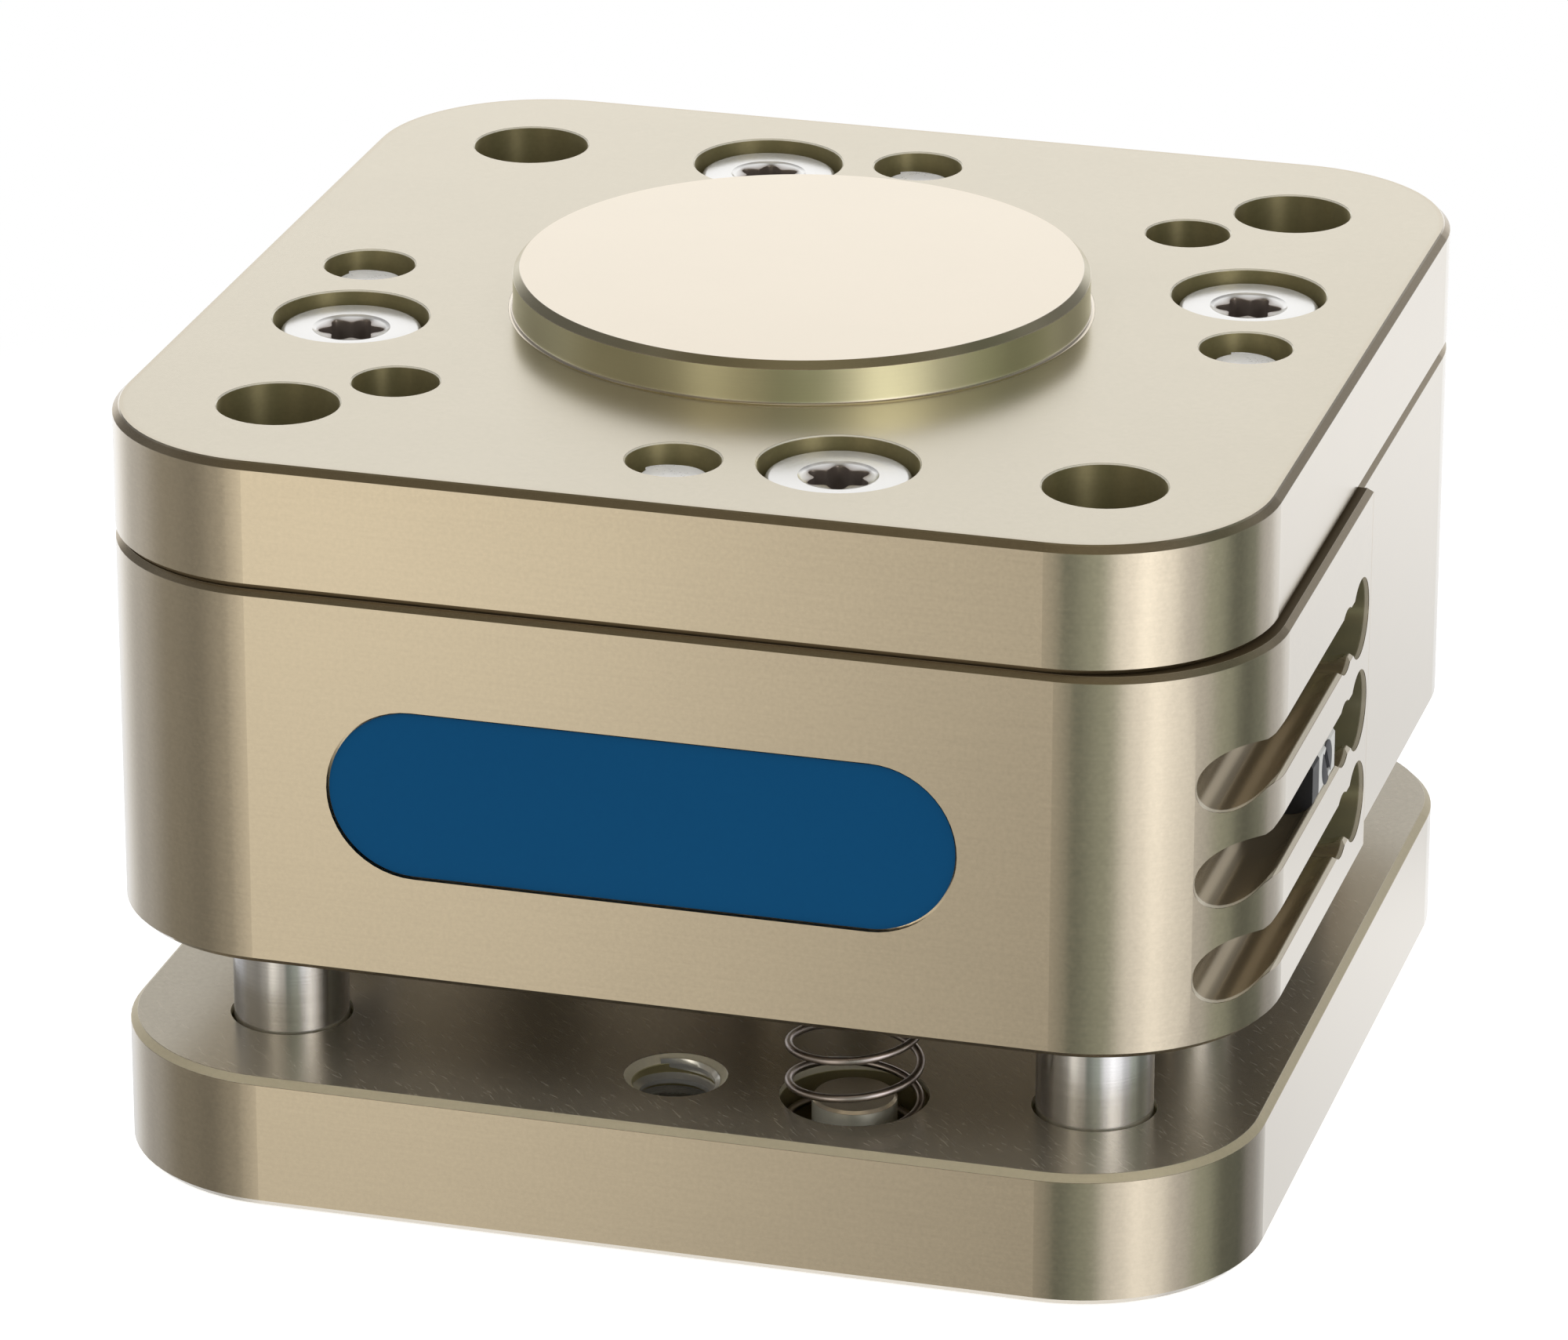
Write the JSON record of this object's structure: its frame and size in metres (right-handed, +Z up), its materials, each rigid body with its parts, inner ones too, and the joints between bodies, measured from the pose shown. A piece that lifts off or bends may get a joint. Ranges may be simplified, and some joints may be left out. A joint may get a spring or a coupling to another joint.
{
  "type": "robot compensation unit",
  "caption": "Square compensation unit for a robot wrist: a housing with a robot flange slides on columns over a sprung tool plate and carries switch slots.",
  "frame": {"origin": "middle of the tool plate's lower face, on the axis of the centring recess", "axes": "+Z up towards the robot, +X towards the side with the switch slots, -Y towards the front with the badge"},
  "size_m": [0.0808, 0.08, 0.0572],
  "materials": {
    "anodised": "champagne anodised, finely brushed",
    "ground_steel": "ground and polished",
    "screw_steel": "bright zinc nickel",
    "spring_steel": "drawn wire",
    "bronze": "turned",
    "piston_alloy": "turned",
    "seal_rubber": "moulded",
    "magnet_plating": "plated",
    "badge_blue": "plain blue",
    "clamp_black": "moulded",
    "clamp_white": "moulded"
  },
  "bodies": {
    "tool_side": {"tool_plate": "anodised", "column_screws": "screw_steel", "piston_rod": "ground_steel", "rod_screw": "screw_steel", "piston": "piston_alloy", "piston_seal": "seal_rubber", "piston_screw": "screw_steel", "magnet_rod": "ground_steel", "switch_magnet": "magnet_plating", "guide_column_1": "ground_steel", "guide_column_2": "ground_steel", "guide_column_3": "ground_steel", "guide_column_4": "ground_steel", "spring_pin_1": "anodised", "spring_pin_2": "anodised", "spring_pin_3": "anodised", "spring_pin_4": "anodised", "return_spring_1": "spring_steel", "return_spring_2": "spring_steel", "return_spring_3": "spring_steel", "return_spring_4": "spring_steel"},
    "robot_side": {"housing": "anodised", "rod_bush": "bronze", "rod_seal": "seal_rubber", "stop_bumper": "seal_rubber", "cover_seal": "seal_rubber", "top_plate": "anodised", "plate_screws": "screw_steel", "centring_disc": "anodised", "clamp_body": "clamp_black", "clamp_head": "clamp_white", "clamp_screw": "screw_steel", "badge_plate": "badge_blue", "guide_bush_1": "bronze", "guide_bush_2": "bronze", "guide_bush_3": "bronze", "guide_bush_4": "bronze"},
    "mounting_screw_1": {"mounting_screw_1": "screw_steel"},
    "mounting_screw_2": {"mounting_screw_2": "screw_steel"},
    "mounting_screw_3": {"mounting_screw_3": "screw_steel"},
    "mounting_screw_4": {"mounting_screw_4": "screw_steel"}
  },
  "joints": [
    {"name": "compensation_stroke", "type": "slide", "parent": "tool_side", "child": "robot_side", "axis": [0, 0, -1], "range_m": [0, 0.008], "stiffness_N_per_m": 690, "springref_m": -0.014, "deforming": ["return_spring_1", "return_spring_2", "return_spring_3", "return_spring_4"]},
    {"name": "mounting_screw_1_lift", "type": "slide", "parent": "robot_side", "child": "mounting_screw_1", "axis": [0, 0, 1], "range_m": [0, 0.008]},
    {"name": "mounting_screw_2_lift", "type": "slide", "parent": "robot_side", "child": "mounting_screw_2", "axis": [0, 0, 1], "range_m": [0, 0.008]},
    {"name": "mounting_screw_3_lift", "type": "slide", "parent": "robot_side", "child": "mounting_screw_3", "axis": [0, 0, 1], "range_m": [0, 0.008]},
    {"name": "mounting_screw_4_lift", "type": "slide", "parent": "robot_side", "child": "mounting_screw_4", "axis": [0, 0, 1], "range_m": [0, 0.008]}
  ]
}
